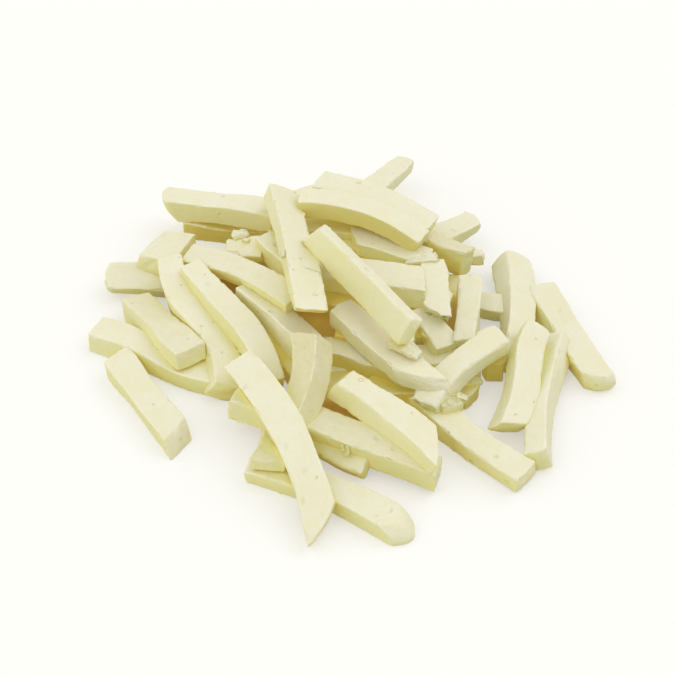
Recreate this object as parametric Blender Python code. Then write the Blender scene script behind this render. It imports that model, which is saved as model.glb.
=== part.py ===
"""A loose heap of fresh cheese cut into thick strips, lying on a table.

The strips that show are fused onto a low inner mound, so the heap is one closed
solid. The measures below are in millimetres and are scaled to metres when the
meshes are made. +Z is up, the table top is z = 0, and -Y is the front.
"""

import math

import bmesh
import bpy
from mathutils import Matrix, Vector, noise

MM = 0.001

# One strip, as it was cut: a flat bar about as thick as a finger.
STRIP_WIDTH = 10.0
STRIP_THICKNESS = 6.5
EDGE_CHAMFER = 0.9

# How uneven the cutting left it: the share by which its width and thickness
# vary along it, and how far its sides lean.
UNEVENNESS = 0.16
SKEW = 0.5

# How many waves each of these makes along a strip, and the row of noise it reads.
WIDTH_WAVES = (2.6, 1.5)
THICKNESS_WAVES = (2.2, 7.5)
LEAN_WAVES = (1.1, 3.5)

# How much an end is worn back at its top and bottom, against its sides.
HEIGHT_WEAR = 0.6

# A strip is cut across about this often. One whose ends are worn back by more
# than ROUND_NOSE is also cut lengthwise, at these shares of its width.
SPAN_LENGTH = 8.5
FEWEST_SPANS = 3
ROUND_NOSE = 1.0
LENGTHWISE_CUTS = (-0.25, 0, 0.25)

# The inner mound that the strips lie on and hide.
MOUND_WIDTH = 76.0
MOUND_DEPTH = 74.0
MOUND_HEIGHT = 14.0
MOUND_CENTRE = (0.0, 11.0)
MOUND_SIDES = 20
MOUND_RINGS = 12

# The middle of the heap's outline on the table, which becomes the origin.
HEAP_MIDDLE = Vector((3.4, -3.05, 0.0))

CREAM = (0.86, 0.83, 0.66, 1.0)
SHARP_ANGLE = math.radians(40)


def clear_scene():
    """Start from an empty scene."""
    for item in list(bpy.data.objects):
        bpy.data.objects.remove(item, do_unlink=True)


def new_collection(name):
    """Return a new collection linked to the scene."""
    collection = bpy.data.collections.new(name)
    bpy.context.scene.collection.children.link(collection)
    return collection


def cheese_material():
    """Pale cream cheese with a faint gloss."""
    material = bpy.data.materials.new("cheese")
    material.use_nodes = True
    surface = material.node_tree.nodes["Principled BSDF"]
    surface.inputs["Base Color"].default_value = CREAM
    surface.inputs["Roughness"].default_value = 0.45
    surface.inputs["Metallic"].default_value = 0.0
    return material


def straight_bar(length, wide, thick, rounded):
    """A chamfered bar from x = 0 to x = length, cut across into equal spans.

    A rounded bar is also cut lengthwise, so that its ends can be round in plan.
    """
    spans = max(FEWEST_SPANS, round(length / SPAN_LENGTH))
    bar = bmesh.new()
    bmesh.ops.create_cube(bar, size=1.0)
    bmesh.ops.scale(bar, vec=(length, wide, thick), verts=bar.verts)
    bmesh.ops.translate(bar, vec=(length / 2, 0, 0), verts=bar.verts)
    bmesh.ops.bevel(bar, geom=bar.edges[:], offset=EDGE_CHAMFER, segments=1, affect="EDGES")
    for cut in range(1, spans):
        everything = bar.verts[:] + bar.edges[:] + bar.faces[:]
        station = (length * cut / spans, 0, 0)
        bmesh.ops.bisect_plane(bar, geom=everything, plane_co=station, plane_no=(1, 0, 0))
    for share in LENGTHWISE_CUTS if rounded else ():
        everything = bar.verts[:] + bar.edges[:] + bar.faces[:]
        station = (0, wide * share, 0)
        bmesh.ops.bisect_plane(bar, geom=everything, plane_co=station, plane_no=(0, 1, 0))
    return bar


class Route:
    """The curved centre line of one strip between the middles of its two ends.

    bend bows it to the right-hand side, rise bows it up, and sway winds it from
    the right-hand side to the left, all measured from the straight line.
    """

    def __init__(self, start, end, bend, rise, sway):
        self.start = Vector(start)
        self.chord = Vector(end) - self.start
        self.length = self.chord.length
        self.side = self.chord.cross(Vector((0, 0, 1))).normalized()
        self.up = self.side.cross(self.chord).normalized()
        self.bend = bend
        self.rise = rise
        self.sway = sway

    def point(self, s):
        """The centre line's point at s, which runs from 0 to 1."""
        bow = 4 * s * (1 - s)
        wind = math.sin(2 * math.pi * s)
        across = self.bend * bow + self.sway * wind
        return self.start + self.chord * s + self.side * across + self.up * (self.rise * bow)

    def direction(self, s):
        """The centre line's direction at s."""
        bow = 4 * (1 - 2 * s)
        wind = 2 * math.pi * math.cos(2 * math.pi * s)
        across = self.bend * bow + self.sway * wind
        return (self.chord + self.side * across + self.up * (self.rise * bow)).normalized()


def uneven(s, seed, waves):
    """A smooth change along a strip, from -1 to 1, of its own for each seed."""
    frequency, row = waves
    return noise.noise((s * frequency, seed, row))


def strip(start, end, wide=STRIP_WIDTH, thick=STRIP_THICKNESS, taper=1, thin=1, bend=0, rise=0,
          sway=0, roll=0, twist=0, cut_start=(0, 0), cut_end=(0, 0), nose=(0, 0)):
    """Return the mesh of one strip laid between two points.

    roll turns it about its own length, to the right-hand side, and twist is the
    change of that angle from one end to the other, both in degrees. A cut slants
    an end across the width and across the thickness, and nose is how far the
    corners of each end are worn back. taper and thin are the width and the
    thickness at the end as a share of those at the start.
    """
    route = Route(start, end, bend, rise, sway)
    seed = start[0] + 3.7 * start[1] + 1.9 * start[2]
    bar = straight_bar(route.length, wide, thick, max(nose) > ROUND_NOSE)
    for vertex in bar.verts:
        along, across, height = vertex.co
        s = along / route.length
        across *= 1 + (taper - 1) * s + UNEVENNESS * uneven(s, seed, WIDTH_WAVES)
        height *= 1 + (thin - 1) * s + UNEVENNESS * uneven(s, seed, THICKNESS_WAVES)
        across += SKEW * height * uneven(s, seed, LEAN_WAVES)
        near_start = max(0, 1 - 2 * s)
        near_end = max(0, 2 * s - 1)
        slant = near_start * (cut_start[0] * across + cut_start[1] * height)
        slant += near_end * (cut_end[0] * across + cut_end[1] * height)
        worn = (2 * across / wide) ** 2 + HEIGHT_WEAR * (2 * height / thick) ** 2
        slant += worn * (nose[0] * near_start ** 4 - nose[1] * near_end ** 4)
        s += slant / route.length
        forward = route.direction(s)
        right = forward.cross(route.up).normalized()
        up = right.cross(forward)
        turn = Matrix.Rotation(math.radians(roll + twist * (s - 0.5)), 3, forward)
        place = route.point(s) + turn @ (right * across + up * height)
        place.z = max(place.z, 0)
        vertex.co = (place - HEAP_MIDDLE) * MM
    bmesh.ops.triangulate(bar, faces=bar.faces)
    bmesh.ops.recalc_face_normals(bar, faces=bar.faces)
    mesh = bpy.data.meshes.new("strip")
    bar.to_mesh(mesh)
    bar.free()
    return mesh


def left_strips():
    """The long strips that run down the left side, and the one lying apart."""
    return [
        strip((-69.3, -14.6, 3.2), (-47.5, -49.5, 3.2), cut_start=(0.3, -0.2),
              cut_end=(0.5, -0.6)),
        strip((-77.8, -1.5, 3.3), (-34, -23.8, 3.3), wide=9.4, bend=1.2, sway=-1.3),
        strip((-65.5, 10, 4.5), (-45, -20.5, 10.3), wide=9.6, thick=6.2, cut_start=(-0.3, -0.9)),
        strip((-76.8, 23.5, 5.6), (-50, 22, 6), roll=30, nose=(1.5, 0.5)),
        strip((-53, 41.5, 7.2), (-60.8, 21.5, 12.2), wide=10.8, thick=5.5, cut_start=(0.35, 0)),
        strip((-54, 22, 13.5), (-34.6, -30, 3.7), wide=8.2, thick=7.4, taper=1.2, bend=-0.6,
              sway=2.4, roll=-8, twist=-26, cut_start=(0.1, 0)),
        strip((-48.2, 16, 15.8), (-20.5, -32, 8.6), wide=7.4, taper=1.22, bend=-3.1, sway=1.2),
        strip((-48.5, 24.5, 13.5), (-13, -3, 17.6), wide=8, thick=5.4, bend=-1, rise=2, roll=15),
        strip((-30, 8, 11), (-9, -18, 11), wide=8.6, thick=9.5, bend=-0.6, roll=-14),
        strip((-8.3, -22.5, 21), (-16, -53.6, 8.5), wide=10.4, thick=7.5, taper=0.75, bend=-3.4,
              roll=35, cut_start=(-0.5, 0)),
    ]


def top_strips():
    """The strips that cross over the crest, and those behind it."""
    return [
        strip((-59.3, 58, 9.8), (-20, 44.5, 14.6), wide=9.2, thick=8.8, thin=0.78, bend=-0.8,
              cut_start=(0.2, -0.4), nose=(2.2, 0.5)),
        strip((-52.5, 55.5, 3.3), (-25, 50, 3.3), wide=9),
        strip((-36.5, 26.5, 13), (-24, 26.5, 15.4), wide=8.6, thick=4, roll=12),
        strip((-24, 29, 16.3), (-11, 11, 16.3), wide=8, thick=7),
        strip((-19.5, 47.5, 22), (-8, -16, 25), bend=-0.6, roll=-20, twist=18, cut_end=(0, 1.1)),
        strip((-7.8, 17.2, 29.5), (22, -25.6, 25), wide=5.6, thick=9.6, roll=-30,
              cut_start=(0.6, 0.5)),
        strip((-12, 41, 23), (27.5, 25, 19), wide=8, thick=7.3, bend=-2, rise=3),
        strip((-6.5, 53, 21), (31, 33.5, 18), rise=2.5),
        strip((8, 50, 17.5), (24.5, 84.5, 7.8), wide=9, thick=6, taper=0.8, nose=(0.5, 2)),
        strip((-40, 59, 3.3), (2, 66, 3.3), bend=1),
        strip((2, 66, 3.3), (34, 44, 3.3), bend=-1),
        strip((6, 60, 9.7), (26, 44, 9.7)),
        strip((-27, 56, 9), (-14, 36, 8.4)),
        strip((-12, 69, 4.5), (-3, 50, 14)),
    ]


def front_strips():
    """The strips of the middle and of the front."""
    return [
        strip((0.4, -4.6, 15.4), (26.8, -36.2, 13.2), wide=8.6, taper=1.2, thin=0.85,
              cut_end=(-1.3, -0.5), nose=(0.5, 1.2)),
        strip((-5, -16, 8), (20, -27, 7.2), wide=8, thick=6.6, bend=-1.8),
        strip((-8, -26, 3.3), (20.5, -32, 2.4), wide=11, thin=0.7, nose=(0.3, 1.5)),
        strip((-29.5, -28, 15), (-4, -85.5, 4), wide=10.6, taper=0.9, bend=-2.6, rise=3.5,
              cut_end=(1.0, 0.3), nose=(0.3, 1.2)),
        strip((0, -36.6, 15), (28.3, -62.5, 11), wide=8, taper=1.28, bend=-0.8, cut_start=(0, 0.5),
              cut_end=(1.0, 0.3)),
        strip((-31, -37.3, 9.5), (29.5, -66, 5.5), wide=12, thick=6.4, taper=0.72, thin=1.25,
              bend=-1, cut_end=(0.2, 0)),
        strip((-14.5, -46, 2.8), (10, -59.5, 2.8), wide=11, thick=5.5),
        strip((-26, -59.5, 2.9), (20.3, -86, 2.9), thick=5.7, taper=0.92, bend=-2.4,
              cut_end=(0, -0.9), nose=(0.5, 3)),
        strip((-17, -38, 3), (-20, -65.5, 8.6), wide=9.6, thick=4),
    ]


def right_strips():
    """The strips of the right side."""
    return [
        strip((-8, 15, 16), (28, 5.6, 16), wide=12, cut_end=(0.27, 0)),
        strip((5, 31, 15), (30, 20.5, 14), wide=8, cut_start=(0.7, 0)),
        strip((42.7, 13, 13.8), (40.5, -13.5, 8.6), wide=7.6, roll=14),
        strip((30, 31, 12.4), (43, 25, 10.6), wide=5.5, thick=12, cut_end=(-0.35, 0)),
        strip((39.5, 30.5, 8), (48.6, 30.5, 8.4), wide=5, thick=4.5, taper=0.7),
        strip((28, 34, 9.3), (47, 51.8, 7.4), wide=9, thick=6, nose=(0.5, 1.8)),
        strip((43, 13, 3.4), (56, 10, 3.4), wide=9),
        strip((27, 1, 10.5), (34, -14.5, 7), wide=8, thick=6),
        strip((57.5, 34.5, 5), (54, -19, 5), wide=8.8, thick=7.5, bend=-2.5, roll=-26,
              nose=(1.5, 0.5)),
        strip((62.5, -9, 12.5), (51.3, -47, 5.5), wide=9, thick=7, sway=0.8, roll=-28,
              nose=(1.5, 0.5)),
        strip((70.5, -7, 5), (59, -59.5, 4.4), wide=7.5, thick=7.5, bend=2, roll=28),
        strip((66, 20, 3.4), (82.3, -26.5, 3.4), bend=0.8, cut_end=(-0.4, 0), nose=(1, 2.4)),
        strip((22.5, -28, 3.4), (55.5, -65, 3.4), bend=2),
        strip((49.2, -12, 4.3), (48.9, -21.5, 4.3), wide=5.6, thick=8.5),
    ]


def torn_strips():
    """The strips that came off the block badly, and a torn end."""
    return [
        strip((27.2, -40.8, 6.4), (50.8, -18.5, 14.6), wide=7, thick=6.2, bend=-2.2, rise=1),
        strip((30.8, 17.6, 16), (32, -5.2, 13.6), wide=8, thick=6, cut_end=(-0.6, 0.5)),
        strip((32.8, 17.8, 18.9), (21.2, 15.2, 17.8), wide=5.8, thick=2.4, taper=0.22, thin=0.6,
              rise=0.5),
        strip((30.5, -39.6, 7), (37.6, -37, 7.4), wide=5.4, thick=4.6),
    ]


def inner_strips():
    """Strips low in the heap that hold others up and show only between them."""
    return [
        strip((-58, 37, 3.4), (-20, 22, 3.3), wide=11, bend=1),
        strip((-42, 14, 3.3), (-22, -22, 3.3)),
        strip((-26, 16, 3.3), (-6, -34, 3.3), bend=-1),
        strip((-15, 40, 3.3), (0, -8, 3.3)),
        strip((2, 46, 3.3), (10, 2, 3.3), bend=1.5),
        strip((15, 38, 3.3), (20, -6, 3.3)),
        strip((28, 40, 3.3), (30, -7, 3.3)),
        strip((-5, -18, 3.3), (43, -14, 3.3)),
        strip((-30, 30, 9.7), (12, 22, 9.7)),
        strip((-26, 12, 9.7), (14, 2, 9.7), bend=-1.5),
        strip((13, 23, 9.6), (34, 2, 9.7)),
        strip((2, 36, 9.7), (22, 28, 9.7)),
        strip((0, -8, 10), (24, -14, 9.5)),
        strip((-21, -6, 6.3), (-7.5, -29, 6)),
        strip((-17, 8, 4.8), (5, -11, 4.8)),
        strip((-15, 42.5, 12.5), (13, 35.5, 12.5), wide=8),
        strip((-9, -33.5, 3.3), (15, -43, 3.3), wide=12),
        strip((11, -31.5, 4), (25, -28.5, 5)),
        strip((39, 24, 3.3), (36.5, -9, 3.3), wide=7),
        strip((27, -19.5, 2.6), (42, -30.5, 2.6), wide=8, thick=5.2),
    ]


def mound_mesh():
    """A low dome with a flat bottom, smaller than the heap."""
    dome = bmesh.new()
    bmesh.ops.create_uvsphere(dome, u_segments=MOUND_SIDES, v_segments=MOUND_RINGS, radius=0.5)
    everything = dome.verts[:] + dome.edges[:] + dome.faces[:]
    bmesh.ops.bisect_plane(dome, geom=everything, dist=0.0001, plane_co=(0, 0, 0),
                           plane_no=(0, 0, 1), clear_inner=True)
    bmesh.ops.holes_fill(dome, edges=dome.edges[:], sides=0)
    bmesh.ops.scale(dome, vec=(MOUND_WIDTH, MOUND_DEPTH, 2 * MOUND_HEIGHT), verts=dome.verts)
    shift = Vector((*MOUND_CENTRE, 0)) - HEAP_MIDDLE
    bmesh.ops.translate(dome, vec=shift, verts=dome.verts)
    bmesh.ops.scale(dome, vec=(MM, MM, MM), verts=dome.verts)
    bmesh.ops.recalc_face_normals(dome, faces=dome.faces)
    mesh = bpy.data.meshes.new("mound")
    dome.to_mesh(mesh)
    dome.free()
    return mesh


def fuse(body, pieces):
    """Join every object of a collection onto a body and remove the pieces."""
    union = body.modifiers.new("fuse", "BOOLEAN")
    union.operation = "UNION"
    union.operand_type = "COLLECTION"
    union.collection = pieces
    union.solver = "EXACT"
    shape = bpy.data.meshes.new_from_object(body.evaluated_get(bpy.context.evaluated_depsgraph_get()))
    body.modifiers.remove(union)
    body.data = shape
    for piece in list(pieces.objects):
        bpy.data.objects.remove(piece, do_unlink=True)
    bpy.data.collections.remove(pieces)


def build_heap():
    """Lay the strips, fuse them onto the mound and finish the surface."""
    heap_parts = new_collection("cheese_strips")
    loose = new_collection("loose_strips")
    shown = left_strips() + top_strips() + front_strips() + right_strips() + torn_strips()
    for mesh in shown + inner_strips():
        piece = bpy.data.objects.new("loose_strip", mesh)
        piece.hide_render = True
        piece.display_type = "WIRE"
        loose.objects.link(piece)
    heap = bpy.data.objects.new("heap", mound_mesh())
    heap_parts.objects.link(heap)
    fuse(heap, loose)
    heap.data.materials.clear()
    heap.data.materials.append(cheese_material())
    heap.data.shade_smooth()
    heap.data.set_sharp_from_angle(angle=SHARP_ANGLE)
    return heap


clear_scene()
build_heap()
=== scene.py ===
# %% [markdown]
# # A heap of mozzarella strips
#
# A block of fresh mozzarella is pushed through a grid of knives and falls apart into
# strips. They are tipped out in a loose heap, where they bend, cross and lean on one
# another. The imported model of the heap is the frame: it says how large the heap is and
# where it lies. Everything here is written in millimetres and scaled to metres at the
# end, because a strip of cheese is easier to think of as 10 wide than as 0.01.

import math

import bmesh
import bpy
import numpy as np
from mathutils import Matrix, Vector, noise
from mathutils.bvhtree import BVHTree


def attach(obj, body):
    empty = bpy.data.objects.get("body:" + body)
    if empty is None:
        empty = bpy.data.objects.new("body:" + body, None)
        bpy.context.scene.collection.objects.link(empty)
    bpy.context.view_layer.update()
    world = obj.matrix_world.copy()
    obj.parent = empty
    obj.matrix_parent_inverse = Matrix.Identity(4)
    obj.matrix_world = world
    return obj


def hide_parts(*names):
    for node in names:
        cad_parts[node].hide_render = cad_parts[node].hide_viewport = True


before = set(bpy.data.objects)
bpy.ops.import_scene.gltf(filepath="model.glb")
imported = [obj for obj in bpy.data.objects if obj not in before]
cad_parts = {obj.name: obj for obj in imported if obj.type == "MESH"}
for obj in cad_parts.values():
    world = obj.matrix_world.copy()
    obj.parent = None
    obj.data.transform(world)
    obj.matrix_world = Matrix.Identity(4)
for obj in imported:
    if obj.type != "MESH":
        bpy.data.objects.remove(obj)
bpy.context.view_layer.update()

MM = 0.001

# %% [markdown]
# ## The camera
#
# The photo looks down on the heap at about 42 degrees, from far enough away that the
# strips at the back are hardly smaller than those in front. A long lens from half a
# metre gives the same picture. The strips below are placed from a point on the table
# that the middle of the picture looks at, and the heap's own middle is a little to one
# side of it.

# %% Place the camera
HEAP_MIDDLE = Vector((3.4, -3.05, 0.0))
LOOKING_DOWN = math.radians(42)
CAMERA_DISTANCE = 540.0
NEAREST_SHOWN = 10.0
PICTURE_WIDTH = 217.7
SENSOR_WIDTH = 36.0


def look_from_the_front():
    """A camera in front of the heap that looks down at the photo's angle."""
    lens = bpy.data.cameras.new("camera")
    lens.sensor_width = SENSOR_WIDTH
    lens.lens = SENSOR_WIDTH * CAMERA_DISTANCE / PICTURE_WIDTH
    lens.clip_start = NEAREST_SHOWN * MM
    camera = bpy.data.objects.new("camera", lens)
    backward = Vector((0, -math.cos(LOOKING_DOWN), math.sin(LOOKING_DOWN)))
    camera.location = (backward * CAMERA_DISTANCE - HEAP_MIDDLE) * MM
    camera.rotation_euler = (math.radians(90) - LOOKING_DOWN, 0, 0)
    bpy.context.scene.collection.objects.link(camera)
    bpy.context.scene.camera = camera
    return camera


camera = look_from_the_front()
print("the lens is", round(camera.data.lens, 1), "mm long")

# %% [markdown]
# ## One strip, before it bends
#
# A knife leaves flat faces and crisp edges, but fresh cheese is soft, so the edges are a
# little round. A beveled cube would give that, with faces too large to carry relief. So
# the block is a cube cut into small squares by Blender's subdivide, whose corner points
# are moved to chosen stations: close together round the edges and even between them.
# Pulling each point towards the inner block then rounds the edges by any radius.

# %% Cut a block into squares
WIDE = 10.0
THICK = 6.5
SQUARE = 0.6
EDGE_RADIUS = 0.5
END_RADIUS = 0.6
NEAR_EDGE = np.array([0.0, 0.3, 0.62])
ALMOST_WHOLE = 0.9


def stations(length, radius, square):
    """Places across one side of a block, close together near both of its edges."""
    cells = max(2, round((length - 2 * radius) / square))
    middle = np.linspace(radius, length - radius, cells + 1)
    return np.concatenate([radius * NEAR_EDGE, middle, length - radius * NEAR_EDGE[::-1]])


def block(size, radii, square):
    """Return a block's mesh, its points about its middle, and the way each one faces.

    The cube is cut along one axis after another, through the edges that still run whole
    from one side of it to the other.
    """
    cage = bmesh.new()
    bmesh.ops.create_cube(cage, size=1.0)
    rulers = [stations(side, radius, square) for side, radius in zip(size, radii)]
    for axis, ruler in enumerate(rulers):
        whole = [edge for edge in cage.edges
                 if abs(edge.verts[0].co[axis] - edge.verts[1].co[axis]) > ALMOST_WHOLE]
        bmesh.ops.subdivide_edges(cage, edges=whole, cuts=len(ruler) - 2, use_grid_fill=True)
    mesh = bpy.data.meshes.new("strip")
    cage.to_mesh(mesh)
    cage.free()
    unit = np.empty(len(mesh.vertices) * 3)
    mesh.vertices.foreach_get("co", unit)
    unit = unit.reshape(-1, 3) + 0.5
    places = np.empty_like(unit)
    for axis, ruler in enumerate(rulers):
        step = np.rint(unit[:, axis] * (len(ruler) - 1)).astype(int)
        places[:, axis] = ruler[step] - size[axis] / 2
    inner = np.clip(places, -(np.array(size) / 2 - radii), np.array(size) / 2 - radii)
    facing = (places - inner) / radii
    facing /= np.linalg.norm(facing, axis=1, keepdims=True)
    return mesh, inner + facing * radii, facing


COMMON_LENGTH = 45.0
sample, sample_points, _ = block((COMMON_LENGTH, WIDE, THICK),
                                 np.array([END_RADIUS, EDGE_RADIUS, EDGE_RADIUS]), SQUARE)
bpy.data.meshes.remove(sample)
print("a strip", COMMON_LENGTH, "mm long has", len(sample_points), "points")

# %% [markdown]
# ## Relief
#
# No two strips are cut alike. The faces wander by a few tenths of a millimetre, the long
# edges are nicked where the knife dragged, and the ends are ragged where the block broke
# and was not cut. Crumbs cling to the edges, and gas has left a small pit here and there.
# Some strips were pulled apart along a whole side, which leaves a torn face of ridges and
# shreds. Sculpting fifty strips by hand would take days, and a displacement texture can't
# tell an edge from a face. Smooth noise that is read point by point can: it gives all of
# this from waves of several sizes. It is read in the strip's own straight space, so the
# relief follows the strip when it is bent later. Each strip reads another part of the
# noise, chosen by its place.
#
# A wave is written as its height, its size in millimetres and the part of the noise.

# %% Shape the faces, edges and ends
FACE_WAVES = ((0.26, 11.0, 0), (0.09, 3.2, 5), (0.05, 1.5, 7))
NICK_DEPTH = 0.9
NICK_SIZE = 2.1
NICK_PART = 9
NICK_LEVEL = 0.15
CRUMB_HEIGHT = 0.55
CRUMB_SIZE = 1.4
CRUMB_PART = 11
CRUMB_LEVEL = 0.25
PIT_DEPTH = 0.6
PIT_RADIUS = 0.75
END_WAVES = ((1.0, 3.5, 13), (0.6, 1.5, 17))
END_ROUGHNESS = 0.45
END_TURN = (0.3, 0.9)
CLEAN_END = 0.6
END_TORN = 0.6
TORN_DEPTH = 0.4
TORN_WAVES = ((0.9, 5.0, 21), (0.4, 1.7, 25))
TORN_TURN = (0.15, 0.75)
DRIFT = 0.6
DRIFT_SIZE = 2.4
DRIFT_PART = 31
NOISE_STEPS = (0.37, 0.11, 0.23)
NOISE_STARTS = (0, 40, 0)
SIDES = {"top": (0, 0, 1), "bottom": (0, 0, -1), "left": (0, -1, 0), "right": (0, 1, 0),
         "start": (-1, 0, 0), "end": (1, 0, 0)}


def wander(points, size, seed):
    """Smooth noise between about -1 and 1 at each point, with swells of the given size."""
    shift = Vector([seed * step + first for step, first in zip(NOISE_STEPS, NOISE_STARTS)])
    return np.array([noise.noise(Vector(point) / size + shift) for point in points])


def waves(points, seed, rows, total=0.0):
    """Waves of noise added up, each given by its height, size and part of the noise."""
    for height, size, part in rows:
        total = total + height * wander(points, size, seed + part)
    return total


def ease(value, low, high):
    """A smooth step from 0 below low to 1 above high."""
    grown = np.clip((value - low) / (high - low), 0, 1)
    return grown * grown * (3 - 2 * grown)


def carve(points, facing, seed, ragged, torn, depth, crumbly, pits):
    """Give a straight strip its cut, nicked, ragged, torn and pitted surfaces.

    Returns the moved points, and how torn, how near to an edge and how pitted each one
    is, from 0 to 1.
    """
    swell = waves(points, seed, FACE_WAVES)
    on_edge = 2 * np.abs(facing[:, 1] * facing[:, 2])
    nicks = np.clip(wander(points, NICK_SIZE, seed + NICK_PART) - NICK_LEVEL, 0, 1)
    crumbs = np.clip(wander(points, CRUMB_SIZE, seed + CRUMB_PART) - CRUMB_LEVEL, 0, 1)
    swell += crumbly * on_edge * (CRUMB_HEIGHT * crumbs - NICK_DEPTH * nicks)
    pitted = np.zeros(len(points))
    for pit in pits:
        far = np.linalg.norm(points - np.array(pit), axis=1) / PIT_RADIUS
        pitted = np.maximum(pitted, np.exp(-far ** 2))
    moved = points + facing * (swell - PIT_DEPTH * pitted)[:, None]
    at_end = ease(np.abs(facing[:, 0]), *END_TURN)
    rough = waves(points, seed, END_WAVES)
    moved[:, 0] += np.sign(points[:, 0]) * at_end * END_ROUGHNESS * ragged * rough
    is_torn = END_TORN * at_end * min(1.0, max(0.0, ragged - CLEAN_END))
    for side in torn:
        share = ease(facing @ np.array(SIDES[side], float), *TORN_TURN)
        ridges = waves(points, seed, TORN_WAVES, TORN_DEPTH)
        moved -= facing * (share * depth * ridges)[:, None]
        drift = np.stack([wander(points, DRIFT_SIZE, seed + DRIFT_PART + axis)
                          for axis in range(3)], axis=1)
        moved += drift * (DRIFT * depth * share)[:, None]
        is_torn = np.maximum(is_torn, share)
    return moved, is_torn, np.clip(on_edge, 0, 1), pitted


print("the faces swell in waves of", [size for _, size, _ in FACE_WAVES], "mm")

# %% [markdown]
# ## Laying a strip
#
# On the table a strip sags over its neighbours and twists a little. A curve modifier or a
# lattice could bend it, but would need an object for every strip. Here its centre line is
# a straight run with a bow to the side, a bow up and a winding added, and each slice of
# the strip is turned to stand across that line. The arguments have the meaning a cook
# would give them: where the strip starts and ends, how it bends, how it is rolled about
# its own length, and how its ends are slanted. The width and the thickness swell and
# shrink a little along the strip, and each such wave is written as the number of swells
# and the part of the noise.

# %% Bend and place a strip
UNEVENNESS = 0.16
WIDTH_WAVE = (2.6, 1.5)
THICKNESS_WAVE = (2.2, 7.5)
SKEW = 0.5
SKEW_WAVE = (1.1, 3.5)
THICKNESS_WEAR = 0.6
NOSE_POWER = 4
# How much darker the carved pits are painted, as painted shade in the hollows.
PIT_PAINTED_SHADE = 0.2
SEED_STEPS = (1.0, 3.7, 1.9)
GRAIN_STEPS = np.array([13, 7, 3])


class Route:
    """The curved centre line of one strip between the middles of its two ends."""

    def __init__(self, start, end, bend, rise, sway):
        self.start = Vector(start)
        self.chord = Vector(end) - self.start
        self.length = self.chord.length
        self.side = self.chord.cross(Vector((0, 0, 1))).normalized()
        self.up = self.side.cross(self.chord).normalized()
        self.bend, self.rise, self.sway = bend, rise, sway

    def point(self, share):
        """Where the centre line is at a share of its length, which runs from 0 to 1."""
        bow = 4 * share * (1 - share)
        across = self.bend * bow + self.sway * math.sin(2 * math.pi * share)
        return self.start + self.chord * share + self.side * across + self.up * (self.rise * bow)

    def direction(self, share):
        """Which way the centre line runs at a share of its length."""
        bow = 4 * (1 - 2 * share)
        across = self.bend * bow + self.sway * 2 * math.pi * math.cos(2 * math.pi * share)
        return (self.chord + self.side * across + self.up * (self.rise * bow)).normalized()


def swelling(share, seed, wave):
    """Smooth noise along a strip, with the given number of swells and part of the noise."""
    count, part = wave
    return noise.noise((share * count, seed, part))


def strip(start, end, wide=WIDE, thick=THICK, taper=1, thin=1, bend=0, rise=0, sway=0, roll=0,
          twist=0, cut_start=(0, 0), cut_end=(0, 0), nose=(0.3, 0.3), ragged=1.0, torn=(),
          depth=1.0, crumbly=1.0, pits=(), edge=EDGE_RADIUS, square=SQUARE, pale=0, dull=0,
          gold=0):
    """Return the mesh of one strip laid between two points, in metres.

    bend, rise and sway bow the strip to the right-hand side and up, and wind it. taper and
    thin are how wide and thick the far end is against the near one. roll turns the strip
    about its own length to the right-hand side, and twist turns one end against the other.
    A cut slants an end across the width and across the thickness, and nose is how far the corners of
    each end are worn back. ragged is how uneven both ends are. torn names the sides that were pulled
    apart and depth how deeply. crumbly is how uneven the long edges are, and pits are places, along,
    to the right and up from the middle, where gas left a small hole; the pits are also painted
    darker, as painted shade. pale is painted light: it lifts the strip's openness, so that the strip
    is coloured lighter and less golden, most on its top. dull is how far the strip is mixed towards a
    darker grey gold. gold is how much painted shade of amber the strip takes where it is less open,
    or past 1 how much painted brown shade.
    """
    route = Route(start, end, bend, rise, sway)
    seed = sum(step * place for step, place in zip(SEED_STEPS, start))
    radii = np.array([END_RADIUS, edge, edge])
    mesh, points, facing = block((route.length, wide, thick), radii, square)
    points, is_torn, rim, pitted = carve(points, facing, seed, ragged, torn, depth, crumbly, pits)
    grain = points + seed * GRAIN_STEPS
    places = np.empty_like(points)
    for index, (along, across, height) in enumerate(points):
        share = 0.5 + along / route.length
        across *= 1 + (taper - 1) * share + UNEVENNESS * swelling(share, seed, WIDTH_WAVE)
        height *= 1 + (thin - 1) * share + UNEVENNESS * swelling(share, seed, THICKNESS_WAVE)
        across += SKEW * height * swelling(share, seed, SKEW_WAVE)
        near_start, near_end = max(0, 1 - 2 * share), max(0, 2 * share - 1)
        slant = near_start * (cut_start[0] * across + cut_start[1] * height)
        slant += near_end * (cut_end[0] * across + cut_end[1] * height)
        worn = (2 * across / wide) ** 2 + THICKNESS_WEAR * (2 * height / thick) ** 2
        slant += worn * (nose[0] * near_start ** NOSE_POWER - nose[1] * near_end ** NOSE_POWER)
        share += slant / route.length
        forward = route.direction(share)
        right = forward.cross(route.up).normalized()
        up = right.cross(forward)
        turn = Matrix.Rotation(math.radians(roll + twist * (share - 0.5)), 3, forward)
        place = route.point(share) + turn @ (right * across + up * height)
        place.z = max(place.z, 0)
        places[index] = (place - HEAP_MIDDLE) * MM
    mesh.vertices.foreach_set("co", places.ravel())
    mesh.attributes.new("grain", "FLOAT_VECTOR", "POINT").data.foreach_set("vector", grain.ravel())
    whole = np.ones(len(points))
    # pale carries painted light, dull a darker grey mix and gold how much painted shade; the carved
    # pits add painted shade to dull.
    values = {"torn": is_torn, "rim": rim, "pale": whole * pale,
              "dull": dull + PIT_PAINTED_SHADE * pitted, "gold": whole * gold}
    for name, value in values.items():
        mesh.attributes.new(name, "FLOAT", "POINT").data.foreach_set("value", value)
    return mesh


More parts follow.
